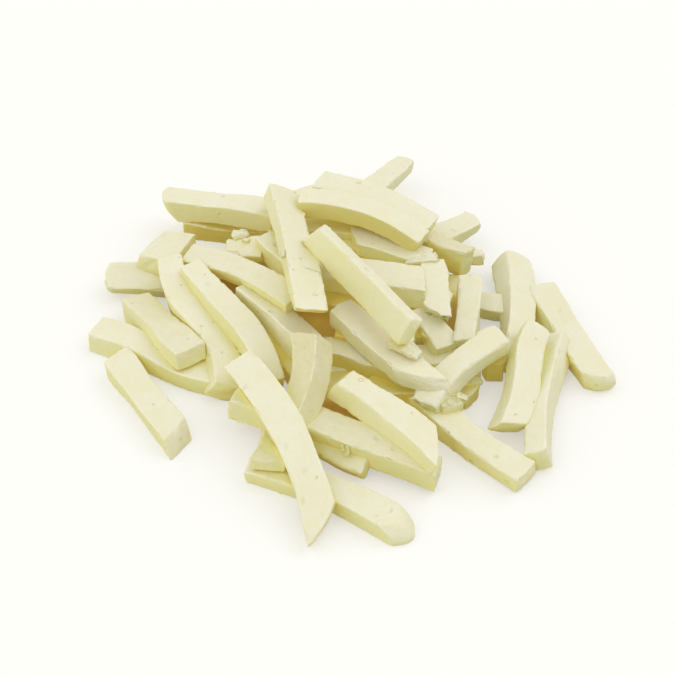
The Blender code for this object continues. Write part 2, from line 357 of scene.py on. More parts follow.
def join(name, meshes):
    """Make one object of several strips, and add it to the scene.

    The strips' right-hand side mirrors them, so their faces are turned outwards again.
    """
    together = bmesh.new()
    for mesh in meshes:
        together.from_mesh(mesh)
        bpy.data.meshes.remove(mesh)
    bmesh.ops.reverse_faces(together, faces=together.faces)
    whole = bpy.data.meshes.new(name)
    together.to_mesh(whole)
    together.free()
    whole.shade_smooth()
    piece = bpy.data.objects.new(name, whole)
    bpy.context.scene.collection.objects.link(piece)
    print(name, "has", len(whole.polygons) * 2, "triangles")
    return piece


# %% [markdown]
# ## The strips of the left side
#
# Long strips run down and out to the left, most of them with a slight winding. One lies
# apart at the front, and one leans on its edge at the far left. Copies of one strip would
# look stamped, and strips dropped by a simulation would fall anywhere. So each strip is a
# row of its own: where its two ends lie, then what is particular about it.

# %% Lay the left side
left_strips = join("left_strips", [
    strip((-69.3, -14.6, 3.2), (-47.5, -49.5, 3.2), cut_start=(0.3, -0.2), cut_end=(0.5, -0.6)),
    strip((-77.8, -1.5, 3.3), (-34, -23.8, 3.3), wide=9.4, bend=1.2, sway=-1.3),
    strip((-65.5, 10, 4.5), (-45, -20.5, 10.3), wide=9.6, thick=6.2, cut_start=(-0.3, -0.9),
          dull=0.2),
    strip((-76.8, 23.5, 5.6), (-50, 22, 6), roll=30, nose=(1.5, 0.5), pale=0.4),
    strip((-53, 41.5, 7.2), (-60.8, 21.5, 12.2), wide=10.8, thick=5.5, cut_start=(0.35, 0),
          gold=0.3),
    strip((-54, 22, 13.5), (-34.6, -30, 3.7), wide=8.2, thick=7.4, taper=1.2, sway=2.4,
          bend=-0.6, roll=-8, twist=-26, cut_start=(0.1, 0)),
    strip((-48.2, 16, 15.8), (-20.5, -32, 8.6), wide=7.4, taper=1.22, bend=-3.1, sway=1.2,
          gold=0.3, pits=((-16.2, 0.3, 3.2),)),
    strip((-48.5, 24.5, 13.5), (-13, -3, 17.6), wide=8, thick=5.4, roll=15, rise=2, bend=-1,
          dull=0.15),
    strip((-30, 8, 11), (-9, -18, 11), wide=8.6, thick=9.5, bend=-0.6, roll=-14, pale=0.9),
    strip((-8.3, -22.5, 21), (-16, -53.6, 8.5), wide=10.4, thick=7.5, taper=0.75, roll=35, bend=-3.4,
          cut_start=(-0.5, 0), dull=0.5),
])

# %% [markdown]
# ## The strips of the crest
#
# The crest is one strip laid across another, with two long ones behind them that drop to
# the right, and one that sticks out at the top. The last five rows carry the crest and are
# seen only from the back.

# %% Lay the crest
top_strips = join("top_strips", [
    strip((-59.3, 58, 9.8), (-20, 44.5, 14.6), wide=9.2, thick=8.8, thin=0.78,
          cut_start=(0.2, -0.4), nose=(2.2, 0.5), bend=-0.8),
    strip((-52.5, 55.5, 3.3), (-25, 50, 3.3), wide=9, gold=0.8),
    strip((-36.5, 26.5, 13), (-24, 26.5, 15.4), wide=8.6, thick=4, roll=12, ragged=1.6),
    strip((-24, 29, 16.3), (-11, 11, 16.3), wide=8, thick=7),
    strip((-19.5, 47.5, 22), (-8, -16, 25), roll=-20, twist=18, bend=-0.6, cut_end=(0, 1.1),
          crumbly=2.2),
    strip((-7.8, 17.2, 29.5), (22, -25.6, 25), wide=5.6, thick=9.6, roll=-30, cut_start=(0.6, 0.5)),
    strip((-12, 41, 23), (27.5, 25, 19), wide=8, thick=7.3, rise=3, bend=-2, gold=0.5),
    strip((-6.5, 53, 21), (31, 33.5, 18), rise=2.5),
    strip((8, 50, 17.5), (24.5, 84.5, 7.8), wide=9, thick=6, taper=0.8, nose=(0.5, 2),
          pale=0.6),
    strip((-40, 59, 3.3), (2, 66, 3.3), bend=1),
    strip((2, 66, 3.3), (34, 44, 3.3), bend=-1),
    strip((6, 60, 9.7), (26, 44, 9.7)),
    strip((-27, 56, 9), (-14, 36, 8.4)),
    strip((-12, 69, 4.5), (-3, 50, 14)),
])

# %% [markdown]
# ## The strips of the middle and the front
#
# One of the longest strips lies on top of the others here and points at the viewer, with
# its end cut on a slant.

# %% Lay the front
front_strips = join("front_strips", [
    strip((0.4, -4.6, 15.4), (26.8, -36.2, 13.2), wide=8.6, taper=1.2, thin=0.85,
          cut_end=(-1.3, -0.5), nose=(0.5, 1.2), ragged=1.4, pale=1, crumbly=1.6),
    strip((-5, -16, 8), (20, -27, 7.2), wide=8, thick=6.6, bend=-1.8, ragged=1.3, pale=0.5, gold=1),
    strip((-8, -26, 3.3), (20.5, -32, 2.4), wide=11, thin=0.7, nose=(0.3, 1.5), gold=0.8),
    strip((-29.5, -28, 15), (-4, -85.5, 4), wide=10.6, taper=0.9, bend=-2.6, rise=3.5,
          roll=10, cut_end=(1.0, 0.3), nose=(0.3, 1.2),
          pits=((5.1, 2.9, 3.2), (14.2, 0.5, 3.2), (20.9, 3.9, 3.2), (-19.8, 4, 3.2))),
    strip((0, -36.6, 15), (28.3, -62.5, 11), wide=8, taper=1.28, bend=-0.8, cut_start=(0, 0.5),
          cut_end=(1.0, 0.3), gold=0.25),
    strip((-31, -37.3, 9.5), (29.5, -66, 5.5), wide=12, thick=6.4, taper=0.72, thin=1.25, bend=-1,
          cut_end=(0.2, 0), dull=0.3, crumbly=2, pits=((8.5, 5.9, 1.6), (12.8, -1, 3.2))),
    strip((-14.5, -46, 5.2), (10, -59.5, 5.1), wide=11, thick=5.5, roll=30, gold=0.4),
    strip((-26, -59.5, 2.9), (20.3, -86, 2.9), thick=5.7, taper=0.92, bend=-2.4, cut_end=(0, -0.9),
          nose=(0.5, 3), pits=((22.1, -1.4, 2.8),)),
    strip((-17, -38, 3), (-20, -65.5, 8.6), wide=9.6, thick=4, dull=0.4),
])

# %% [markdown]
# ## The strips of the right side
#
# Shorter pieces lean on each other here. Four long strips lie along the edge, three of
# them nearly pointing at the viewer and tipped to one side, and a fifth runs out to the
# front.

# %% Lay the right side
right_strips = join("right_strips", [
    strip((-8, 15, 16), (28, 5.6, 16), wide=12, cut_end=(0.27, 0), pale=0.3, gold=0.35),
    strip((5, 31, 15), (30, 20.5, 14), wide=8, cut_start=(0.7, 0), pale=0.5),
    strip((42.7, 13, 13.8), (40.5, -13.5, 8.6), wide=7.6, roll=14, ragged=1.5, pale=0.8,
          crumbly=1.8),
    strip((30, 31, 12.4), (43, 25, 10.6), wide=5.5, thick=12, cut_end=(-0.35, 0), dull=0.4),
    strip((39.5, 30.5, 8), (48.6, 30.5, 8.4), wide=5, thick=4.5, taper=0.7, ragged=1.6),
    strip((28, 34, 9.3), (47, 51.8, 7.4), wide=9, thick=6, nose=(0.5, 1.8), pale=0.6),
    strip((43, 13, 3.4), (56, 10, 3.4), wide=9, pale=0.6),
    strip((27, 1, 10.5), (34, -14.5, 7), wide=8, thick=6, pale=0.7),
    strip((57.5, 34.5, 5), (54, -19, 5), bend=-2.5, roll=-26, wide=8.8, thick=7.5,
          nose=(1.5, 0.5), pale=0.8, crumbly=2),
    strip((62.5, -9, 12.5), (51.3, -47, 5.5), wide=9, thick=7, sway=0.8, roll=-28,
          cut_end=(0.6, 0), nose=(1.5, 0.5), pale=0.2),
    strip((70.5, -7, 5), (59, -59.5, 4.4), wide=7.5, thick=7.5, bend=2, roll=28,
          pits=((-17.7, -3.4, 2),)),
    strip((66, 20, 3.4), (82.3, -26.5, 3.4), bend=0.8, cut_end=(-0.4, 0), nose=(1, 2.4),
          pits=((-9.1, -0.4, 3.2),)),
    strip((22.5, -28, 3.4), (55.5, -65, 3.4), bend=2),
    strip((49.2, -12, 4.3), (48.9, -21.5, 4.3), wide=5.6, thick=8.5, gold=0.8),
])

# %% [markdown]
# ## The torn strips
#
# Two strips came off the block badly. One bends over a gap: its underside and its far
# side are torn, and a crumpled lump lies at its low end. The other is ragged on both
# sides and has a thin flap at its top end. Ridges and shreds take smaller squares to
# carry.

# %% Lay the torn strips
TORN_SQUARE = 0.5
FINE_SQUARE = 0.4
TORN_ALL_ROUND = ("left", "right", "top", "start", "end")

torn_strips = join("torn_strips", [
    strip((26.4, -39.9, 6.6), (51.2, -16.8, 14.8), wide=9.2, thick=7.2, bend=-2.2, rise=1, ragged=1.2,
          torn=("left", "start", "bottom"), depth=1.3, edge=1.1, square=TORN_SQUARE, pale=0.7),
    strip((30.3, 17.6, 16), (31.4, -5.2, 13.6), wide=9.4, thick=6, ragged=1.7, cut_end=(-0.6, 0.5),
          torn=("left", "right", "start", "end"), depth=1.4, edge=0.9, square=TORN_SQUARE,
          pale=0.8),
    strip((32.8, 17.8, 18.9), (21.2, 15.2, 17.8), wide=5.8, thick=2.4, taper=0.22, thin=0.6, rise=0.5,
          ragged=1.4, torn=TORN_ALL_ROUND, depth=0.7, square=FINE_SQUARE),
    strip((30.5, -39.6, 7), (37.6, -37, 7.4), wide=5.4, thick=4.6, ragged=1.5, edge=0.9,
          torn=("left", "top", "bottom", "start", "end"), depth=1.3, square=FINE_SQUARE,
          dull=0.4),
])

# %% [markdown]
# ## The scraps
#
# Tipping the strips out tears shreds off them. Thin leaves and lumps lie on the strips and
# in the gaps, torn on every side, so they are strips of a few millimetres.

# %% Lay the scraps
SCRAP_TEAR = 0.28


def scrap(start, end, wide, thick, rise=0.0):
    """A small shred between two points, torn all round to a share of its thickness."""
    return strip(start, end, wide=wide, thick=thick, rise=rise, taper=0.75, nose=(0.8, 1.2),
                 ragged=1.6, torn=TORN_ALL_ROUND, depth=SCRAP_TEAR * min(wide, thick), edge=0.35,
                 square=FINE_SQUARE)


scraps = join("scraps", [
    scrap((-35, 31.5, 15.6), (-28.5, 33, 16.4), 4.2, 3.6),
    scrap((-31.5, 29.5, 17), (-28.5, 28.2, 17), 2.6, 1.6),
    scrap((-17.3, 10.4, 27.6), (-17, 6.6, 27.4), 1.9, 1.5),
    scrap((-11.6, 3.2, 27.6), (-4.9, 1.1, 26.3), 0.9, 0.6),
    scrap((-39, 24.5, 14.8), (-32, 23, 15.2), 3.4, 1.8),
    scrap((-28.5, 3.5, 14.8), (-24, -3, 14.4), 3.2, 1.8),
    scrap((15.8, -21.6, 18.6), (25.4, -28.6, 17.6), 6, 1.6, rise=0.5),
    scrap((26.4, -9, 9.8), (29.4, -11, 9.6), 2.6, 1.6),
    scrap((37.5, -27.5, 9), (42, -25, 8.5), 3.2, 2),
    scrap((38.4, -26.4, 5.6), (45, -26, 5.2), 3.8, 1.8),
    scrap((43, -24, 4), (43.5, -20.5, 6.8), 3.4, 2.2),
    scrap((35.5, -36, 8.6), (40, -37.5, 8), 3.4, 2.4),
    scrap((2.8, -59, 11), (2.9, -59.9, 7), 1.5, 1.2),
    scrap((1.2, -58.6, 11), (1.8, -59.3, 8.2), 1.1, 1),
    scrap((-3, 14, 21), (0.5, 9, 20), 3, 1.8),
])

# %% [markdown]
# ## The strips inside
#
# Between the strips on top the eye looks down onto others. They lie nearly flat, most of
# them in two layers, and hold the heap up, so nothing hangs in the air. A solid core would
# be simpler, but the gaps would look filled. Little of these strips shows, so their
# squares are larger.

# %% Lay the strips inside
HIDDEN_SQUARE = 0.9


def hidden(start, end, **shape):
    """A strip that is seen only through the gaps, in larger squares."""
    return strip(start, end, square=HIDDEN_SQUARE, **shape)


inner_strips = join("inner_strips", [
    hidden((-58, 37, 3.4), (-20, 22, 3.3), wide=11, bend=1, gold=2),
    hidden((-42, 14, 3.3), (-22, -22, 3.3)),
    hidden((-26, 16, 3.3), (-6, -34, 3.3), bend=-1),
    hidden((-15, 40, 3.3), (0, -8, 3.3)),
    hidden((2, 46, 3.3), (10, 2, 3.3), bend=1.5),
    hidden((15, 38, 3.3), (20, -6, 3.3)),
    hidden((28, 40, 3.3), (30, -7, 3.3)),
    hidden((-5, -18, 3.3), (43, -14, 3.3), pale=0.5),
    hidden((-30, 30, 9.7), (12, 22, 9.7), gold=1.5),
    hidden((-26, 12, 9.7), (14, 2, 9.7), bend=-1.5, gold=1.3),
    hidden((13, 23, 9.6), (34, 2, 9.7)),
    hidden((2, 36, 9.7), (22, 28, 9.7)),
    hidden((0, -8, 10), (24, -14, 9.5), gold=1.3),
    hidden((-21, -6, 6.3), (-7.5, -29, 6), gold=1),
    hidden((-17, 8, 4.8), (5, -11, 4.8), gold=1.7),
    hidden((-15, 42.5, 12.5), (13, 35.5, 12.5), wide=8),
    hidden((-9, -33.5, 3.3), (15, -43, 3.3), wide=12, gold=2),
    hidden((11, -31.5, 4), (25, -28.5, 5), gold=1),
    hidden((39, 24, 3.3), (36.5, -9, 3.3), wide=7, gold=1.7),
    hidden((27, -19.5, 2.6), (42, -30.5, 2.6), wide=8, thick=5.2, gold=0.6),
])

# %% [markdown]
# ## How open each point is to the light
#
# Mozzarella is nearly white where light falls on it and turns golden in the gaps, because there light
# has passed through cheese again and again and lost its blue. Scattering light inside strips that
# touch each other takes long to render and leaves blue seams. So each point looks up in a few dozen
# directions, counts how much of the bright room it can see past the other strips, and keeps the share
# as a number that the colour reads. The colour paints this light and shade in: gold, amber and brown
# where less of the room is seen, which is painted shade and not the cheese's own colour.

# %% Measure the openness
ROOM_RINGS = 4
ROOM_SPOKES = 8
BRIGHT_SIDE = Vector((0.62, 0.25, 0.74)).normalized()
BRIGHTER = 0.8
REACH = 26.0
STEP_OFF = 0.35
GRAZING = 0.03
SMOOTHING = 3
# The share of the painted light lift, from pale, that the sides of a strip get against its top.
PALE_SIDES = 0.35


def room_directions():
    """Directions spread over the upper half of the room, and how bright each one is.

    They stand in rings, one above another, and every second ring is turned by half a step.
    """
    found = []
    for ring in range(ROOM_RINGS):
        height = (ring + 0.5) / ROOM_RINGS
        for spoke in range(ROOM_SPOKES):
            angle = 2 * math.pi * (spoke + 0.5 * (ring % 2)) / ROOM_SPOKES
            flat = math.sqrt(1 - height * height)
            direction = Vector((flat * math.cos(angle), flat * math.sin(angle), height))
            found.append((direction, 1 + BRIGHTER * direction.dot(BRIGHT_SIDE)))
    return found


def even_out(mesh, values):
    """Average each point's value with those of its neighbours, a few times."""
    ends = np.empty(len(mesh.edges) * 2, dtype=int)
    mesh.edges.foreach_get("vertices", ends)
    ends = ends.reshape(-1, 2)
    for _ in range(SMOOTHING):
        total, count = values.copy(), np.ones(len(values))
        for here, there in ((0, 1), (1, 0)):
            np.add.at(total, ends[:, here], values[ends[:, there]])
            np.add.at(count, ends[:, here], 1)
        values = total / count
    return values


def faces_to_hit(pieces):
    """All the faces of the heap in one tree, so that a ray finds the first that it hits."""
    vertices, polygons = [], []
    for piece in pieces:
        first = len(vertices)
        vertices += [vertex.co for vertex in piece.data.vertices]
        polygons += [[first + corner for corner in face.vertices] for face in piece.data.polygons]
    return BVHTree.FromPolygons(vertices, polygons)


def measure_openness(pieces):
    """Give each piece an attribute that is 1 on an open top and 0 in a closed gap.

    A strip's pale is painted light: it lifts the strip towards 1, most on its top.
    """
    heap = faces_to_hit(pieces)
    directions = room_directions()
    full = sum(bright * direction.z for direction, bright in directions)
    for piece in pieces:
        mesh = piece.data
        seen = np.zeros(len(mesh.vertices))
        upward = np.zeros(len(mesh.vertices))
        pale = np.empty(len(mesh.vertices))
        mesh.attributes["pale"].data.foreach_get("value", pale)
        for index, vertex in enumerate(mesh.vertices):
            normal = vertex.normal
            upward[index] = max(0, normal.z) ** 2
            origin = vertex.co + normal * (STEP_OFF * MM)
            for direction, bright in directions:
                lean = normal.dot(direction)
                if lean > GRAZING and heap.ray_cast(origin, direction, REACH * MM)[0] is None:
                    seen[index] += bright * lean
        seen = even_out(mesh, seen / full)
        # Painted light: pale lifts the openness, so the strip is coloured lighter and less golden.
        lifted = PALE_SIDES + (1 - PALE_SIDES) * upward
        seen += pale * lifted * (1 - np.minimum(seen, 1))
        mesh.attributes.new("open", "FLOAT", "POINT").data.foreach_set("value", seen)
        print(piece.name, "is open from", round(seen.min(), 2), "to", round(seen.max(), 2))


strips = [left_strips, top_strips, front_strips, right_strips, torn_strips, scraps, inner_strips]
measure_openness(strips)

# %% [markdown]
# ## The look of the cheese
#
# The tops are a pale cream that drifts between three near tones, so that a long face doesn't look
# printed. As a point is less open the colour runs through gold to amber, and to brown in the
# narrowest gaps; this is painted shade. The edges carry a painted highlight, and a few strips are
# mixed darker and greyer all over. A picture laid over the strips could hold all of this, but it
# would smear on the bent sides and be right for one heap only. So colours are mixed by the openness
# and by what each strip keeps about itself.

# %% Name the tones
PALE = (0.825, 0.808, 0.665, 1)
CREAM = (0.812, 0.785, 0.600, 1)
BUTTER = (0.800, 0.765, 0.530, 1)
# A darker grey gold, which the strips given dull and the carved pits are mixed towards.
DARK_GREY_GOLD = (0.600, 0.545, 0.275, 1)
# The gold, amber and brown tones below are painted shade, mixed in where a point is less open to the
# light.
SHADE_GOLD = (0.800, 0.785, 0.400, 1)
SHADE_AMBER = (0.655, 0.545, 0.085, 1)
SHADE_BROWN = (0.460, 0.280, 0.055, 1)
# The lightest tone is a painted highlight laid along the rims of the strips.
PAINTED_HIGHLIGHT = (0.850, 0.840, 0.740, 1)
# The glows below are painted light: an emission in the gaps that stands in for light passing through
# the cheese.
NO_GLOW = (0.0, 0.0, 0.0, 1)
GOLD_GLOW = (0.110, 0.092, 0.030, 1)
BROWN_GLOW = (0.090, 0.048, 0.008, 1)
print("the blue of the cheese falls from", PALE[2], "in the open to", SHADE_BROWN[2], "in the gaps")

# %% [markdown]
# ## Building blocks for node groups
#
# A node group is a recipe with named inputs and outputs, and the first helper makes an
# empty one. Adding each node by hand would take four lines every time, so the few kinds of
# node that the two groups below are made of get a helper each: a noise, a change of range,
# a sum or product, and a mix of two colours. Each of these adds one node and gives back
# its output socket.

# %% Helpers for node groups
def new_group(name, inputs, outputs):
    """An empty shader node group with named sockets, given as name and kind."""
    group = bpy.data.node_groups.new(name, "ShaderNodeTree")
    for socket, kind in inputs:
        group.interface.new_socket(socket, in_out="INPUT", socket_type=kind)
    for socket, kind in outputs:
        group.interface.new_socket(socket, in_out="OUTPUT", socket_type=kind)
    return group, group.nodes.new("NodeGroupInput"), group.nodes.new("NodeGroupOutput")


def noise_node(group, vector, scale, detail):
    """A noise texture read at the given vector socket."""
    node = group.nodes.new("ShaderNodeTexNoise")
    node.inputs["Scale"].default_value = scale
    node.inputs["Detail"].default_value = detail
    group.links.new(vector, node.inputs["Vector"])
    return node.outputs["Fac"]


def remap(group, value, low, high, to_low, to_high):
    """A smooth change of range that keeps within its limits."""
    node = group.nodes.new("ShaderNodeMapRange")
    node.interpolation_type = "SMOOTHSTEP"
    limits = {"From Min": low, "From Max": high, "To Min": to_low, "To Max": to_high}
    for socket, number in limits.items():
        node.inputs[socket].default_value = number
    group.links.new(value, node.inputs["Value"])
    return node.outputs["Result"]


def combine(group, operation, first, second):
    """A Math node on two values, each of them a number or a socket."""
    node = group.nodes.new("ShaderNodeMath")
    node.operation = operation
    for socket, value in zip(node.inputs, (first, second)):
        if isinstance(value, (int, float)):
            socket.default_value = value
        else:
            group.links.new(value, socket)
    return node.outputs["Value"]


def multiply(group, first, second):
    """One value times another."""
    return combine(group, "MULTIPLY", first, second)


def mix_colours(group, factor, first, second):
    """Blend two colours, each of them a fixed colour or a socket."""
    node = group.nodes.new("ShaderNodeMix")
    node.data_type = "RGBA"
    sockets = [socket for socket in node.inputs if socket.type == "RGBA"]
    for socket, colour in zip(sockets, (first, second)):
        if isinstance(colour, tuple):
            socket.default_value = colour
        else:
            group.links.new(colour, socket)
    group.links.new(factor, node.inputs["Factor"])
    return next(socket for socket in node.outputs if socket.type == "RGBA")


helpers = (noise_node, remap, combine, multiply, mix_colours)
print("helpers that add a node:", ", ".join(helper.__name__ for helper in helpers))

# %% [markdown]
# ## The tone group
#
# The group starts from the lit colour and lays one tone after another over it, each through a mask. A
# mask is a range of openness, or a drift of noise, or both multiplied. The masks of openness lay
# painted shade, and the rims a painted highlight. Light that has passed through the strips makes the
# gaps glow a little, which the group paints as an emission colour, a painted glow. It reads the noise
# in the strip's own straight space.
#
# A noise is written as its scale, in swells a millimetre, and how finely it is broken up.

# %% Build the tone group
BROAD_NOISE = (0.11, 3)
MOTTLE_NOISE = (0.5, 4)
DAMP_NOISE = (0.9, 2)
CREAM_DRIFT = (0.36, 0.68)
BUTTER_DRIFT = (0.45, 0.75)
BUTTER_MOST = 0.55
# How the darker grey gold mix is broken up by the mottle.
DARKENED_DRIFT = (0.3, 0.7)
DARKENED_RANGE = (0.85, 1.1)
# Ranges of openness over which the painted shade is mixed in and the painted glow fades out.
LIT_RANGE = (0.12, 0.88)
CLOSED_RANGE = (0.02, 0.26)
SHADED_RANGE = (0.2, 0.6)
CREVICE_RANGE = (0.0, 0.07)
CREVICE_MOST = 0.55
DARKEST_RANGE = (0.12, 0.38)
# How strongly the painted shade of gold is mixed into the pinholes.
PINHOLE_SHADE_GOLD = 0.5
# Where the painted highlight lies along the rims, how it is broken up and how strong it is.
PAINTED_HIGHLIGHT_RIM = (0.35, 1.0)
PAINTED_HIGHLIGHT_DRIFT = (0.38, 0.6)
PAINTED_HIGHLIGHT_MOST = 0.5
GLOW_RANGE = (0.0, 0.5)
DAMP_DRIFT = (0.60, 0.72)


def tone_group():
    """The cheese's colour, from cream in the open to a painted shade of gold and brown in the gaps.
    """
    group, given, result = new_group(
        "cheese_tone", [("Place", "NodeSocketVector"), ("Open", "NodeSocketFloat"),
                        ("Rim", "NodeSocketFloat"), ("Dull", "NodeSocketFloat"),
                        ("Gold", "NodeSocketFloat"), ("Pit", "NodeSocketFloat")],
        [("Colour", "NodeSocketColor"), ("Damp", "NodeSocketFloat"), ("Glow", "NodeSocketColor")])
    place, open_share = given.outputs["Place"], given.outputs["Open"]
    broad = noise_node(group, place, *BROAD_NOISE)
    mottle = noise_node(group, place, *MOTTLE_NOISE)
    fleck = noise_node(group, place, *DAMP_NOISE)
    creamy = remap(group, broad, *CREAM_DRIFT, 0, 1)
    buttery = remap(group, mottle, *BUTTER_DRIFT, 0, BUTTER_MOST)
    # Strips given dull are mixed towards a darker grey gold, and so are the carved pits, as painted
    # shade.
    darkened = multiply(group, given.outputs["Dull"], remap(group, mottle, *DARKENED_DRIFT, *DARKENED_RANGE))
    # Painted shade: as a point is less open it is mixed through gold and amber, and to brown in the
    # narrowest gaps and, past a gold of 1, on the strips given it.
    lit = remap(group, open_share, *LIT_RANGE, 0, 1)
    closed = remap(group, open_share, *CLOSED_RANGE, 1, 0)
    shaded = multiply(group, remap(group, open_share, *SHADED_RANGE, 1, 0),
                      remap(group, given.outputs["Gold"], 0, 1, 0, 1))
    crevice = remap(group, open_share, *CREVICE_RANGE, CREVICE_MOST, 0)
    darkest = multiply(group, remap(group, open_share, *DARKEST_RANGE, 1, 0),
                       remap(group, given.outputs["Gold"], 1, 2, 0, 1))
    brown = combine(group, "MAXIMUM", crevice, darkest)
    # Painted shade in the pinholes, which are only bumps.
    pitted = multiply(group, given.outputs["Pit"], PINHOLE_SHADE_GOLD)
    # A painted highlight along the rims, broken up by the mottle.
    painted_highlight = multiply(group, remap(group, given.outputs["Rim"], *PAINTED_HIGHLIGHT_RIM, 0, PAINTED_HIGHLIGHT_MOST),
                   remap(group, mottle, *PAINTED_HIGHLIGHT_DRIFT, 1, 0))
    colour = mix_colours(group, creamy, PALE, CREAM)
    colour = mix_colours(group, buttery, colour, BUTTER)
    colour = mix_colours(group, darkened, colour, DARK_GREY_GOLD)
    colour = mix_colours(group, lit, SHADE_GOLD, colour)
    for mask, tint in ((closed, SHADE_AMBER), (shaded, SHADE_AMBER), (brown, SHADE_BROWN), (pitted, SHADE_GOLD), (painted_highlight, PAINTED_HIGHLIGHT)):
        colour = mix_colours(group, mask, colour, tint)
    # A painted glow in the less open places, browner where the painted shade is darkest.
    glow = mix_colours(group, remap(group, open_share, *GLOW_RANGE, 1, 0), NO_GLOW, GOLD_GLOW)
    glow = mix_colours(group, darkest, glow, BROWN_GLOW)
    group.links.new(colour, result.inputs["Colour"])
    group.links.new(remap(group, fleck, *DAMP_DRIFT, 0, 1), result.inputs["Damp"])
    group.links.new(glow, result.inputs["Glow"])
    return group


tone = tone_group()
print("the tone group has", len(tone.nodes), "nodes")

# %% [markdown]
# ## Fine relief
#
# Finer than the squares are the knife's long streaks, the curd's grain and the pinholes that gas
# left. Carving them would take millions of squares, so each is a texture, and their sum is a height
# for a Bump node, which tilts the shading and leaves the mesh as it is. The streaks are noise
# squeezed along the strip, and a pinhole is the middle of a Voronoi cell, kept only in a few cells.
# The pinholes are given out as a mask too, and their floors get a painted shade of gold, since they
# are only bumps and cast none.

# %% Build the relief group
STREAK_SQUEEZE = (0.10, 1.1, 1.1)
STREAK_NOISE = (1.0, 2)
STREAK_HEIGHT = 0.15
CURD_NOISE = (0.55, 4)
CURD_HEIGHT = 0.9
GRAIN_NOISE = (1.9, 3)
GRAIN_HEIGHT = 0.4
TORN_NOISE = (1.1, 5)
TORN_HEIGHT = 2.6
SMALL_HOLES = (3.0, 0.55, 0.10)
LARGE_HOLES = (6.5, 1.05, 0.22)
HOLE_FLOOR = 0.4
HOLE_DEPTH = 2.0
SOFT_CHOICE = 0.01


def holes(group, place, cell, radius, share):
    """A mask of round holes, one in some of the cells that are the given size across."""
    cells = group.nodes.new("ShaderNodeTexVoronoi")
    cells.inputs["Scale"].default_value = 1 / cell
    group.links.new(place, cells.inputs["Vector"])
    chosen = group.nodes.new("ShaderNodeSeparateColor")
    group.links.new(cells.outputs["Color"], chosen.inputs["Color"])
    middle = remap(group, cells.outputs["Distance"], HOLE_FLOOR * radius / cell, radius / cell, 1, 0)
    kept = remap(group, chosen.outputs["Red"], 1 - share, 1 + SOFT_CHOICE - share, 0, 1)
    return multiply(group, middle, kept)


def relief_group():
    """Height of the streaks, the curd, the pinholes and the torn places."""
    group, given, result = new_group(
        "cheese_relief", [("Place", "NodeSocketVector"), ("Torn", "NodeSocketFloat")],
        [("Height", "NodeSocketFloat"), ("Pit", "NodeSocketFloat")])
    place = given.outputs["Place"]
    squeeze = group.nodes.new("ShaderNodeMapping")
    squeeze.inputs["Scale"].default_value = STREAK_SQUEEZE
    group.links.new(place, squeeze.inputs["Vector"])
    streaks = noise_node(group, squeeze.outputs["Vector"], *STREAK_NOISE)
    curd = noise_node(group, place, *CURD_NOISE)
    grain = noise_node(group, place, *GRAIN_NOISE)
    rough = multiply(group, noise_node(group, place, *TORN_NOISE), given.outputs["Torn"])
    pits = combine(group, "MAXIMUM", holes(group, place, *SMALL_HOLES),
                   holes(group, place, *LARGE_HOLES))
    height = multiply(group, streaks, STREAK_HEIGHT)
    for texture, amount in ((curd, CURD_HEIGHT), (grain, GRAIN_HEIGHT), (rough, TORN_HEIGHT),
                            (pits, -HOLE_DEPTH)):
        height = combine(group, "ADD", height, multiply(group, texture, amount))
    group.links.new(height, result.inputs["Height"])
    group.links.new(pits, result.inputs["Pit"])
    return group


relief = relief_group()
print("the relief group has", len(relief.nodes), "nodes")

# %% [markdown]
# ## The material
#
# Fresh cheese is a satin, cloudy solid: light goes in a little way and comes out again.
# The Principled shader's subsurface does this, with a short reach for all three colours,
# because the openness already holds what a long reach would add. The coat is the film of
# whey that makes a fresh cut shine in spots. All strips are from one block, so one
# material is enough, and it reads from the attributes how each strip differs.

# %% Make the cheese
SCATTER = 0.8
CONSTANTS = {
    "Subsurface Weight": 0.35,
    "Subsurface Radius": (1.0, 1.0, 1.0),
    "Subsurface Scale": SCATTER * MM,
    "IOR": 1.45,
    "Roughness": 0.42,
    "Coat Roughness": 0.2,
    "Emission Strength": 1.0,
}
WHEY_FILM = 0.35
BUMP_STRENGTH = 0.7
BUMP_HEIGHT = 0.3
KEPT_BY_TONE = ("open", "rim", "dull", "gold")


def place_group(nodes, group):
    """Put a node group into a material."""
    node = nodes.new("ShaderNodeGroup")
    node.node_tree = group
    return node


def moist_cheese():
    """The one material of the heap."""
    material = bpy.data.materials.new("cut_cheese")
    material.use_nodes = True
    tree = material.node_tree
    nodes, link = tree.nodes, tree.links.new
    surface = nodes["Principled BSDF"]
    surface.subsurface_method = "RANDOM_WALK"
    for socket, value in CONSTANTS.items():
        surface.inputs[socket].default_value = value
    given = {}
    for name in ("grain", "torn") + KEPT_BY_TONE:
        given[name] = nodes.new("ShaderNodeAttribute")
        given[name].attribute_name = name
    look, height = place_group(nodes, tone), place_group(nodes, relief)
    for group in (look, height):
        link(given["grain"].outputs["Vector"], group.inputs["Place"])
    for name in KEPT_BY_TONE:
        link(given[name].outputs["Fac"], look.inputs[name.capitalize()])
    link(given["torn"].outputs["Fac"], height.inputs["Torn"])
    link(height.outputs["Pit"], look.inputs["Pit"])
    link(look.outputs["Colour"], surface.inputs["Base Color"])
    # The glow is painted light: an emission in the gaps, where there is no lamp.
    link(look.outputs["Glow"], surface.inputs["Emission Color"])
    link(multiply(tree, look.outputs["Damp"], WHEY_FILM), surface.inputs["Coat Weight"])
    bump = nodes.new("ShaderNodeBump")
    bump.inputs["Strength"].default_value = BUMP_STRENGTH
    bump.inputs["Distance"].default_value = BUMP_HEIGHT * MM
    link(height.outputs["Height"], bump.inputs["Height"])
    link(bump.outputs["Normal"], surface.inputs["Normal"])
    return material


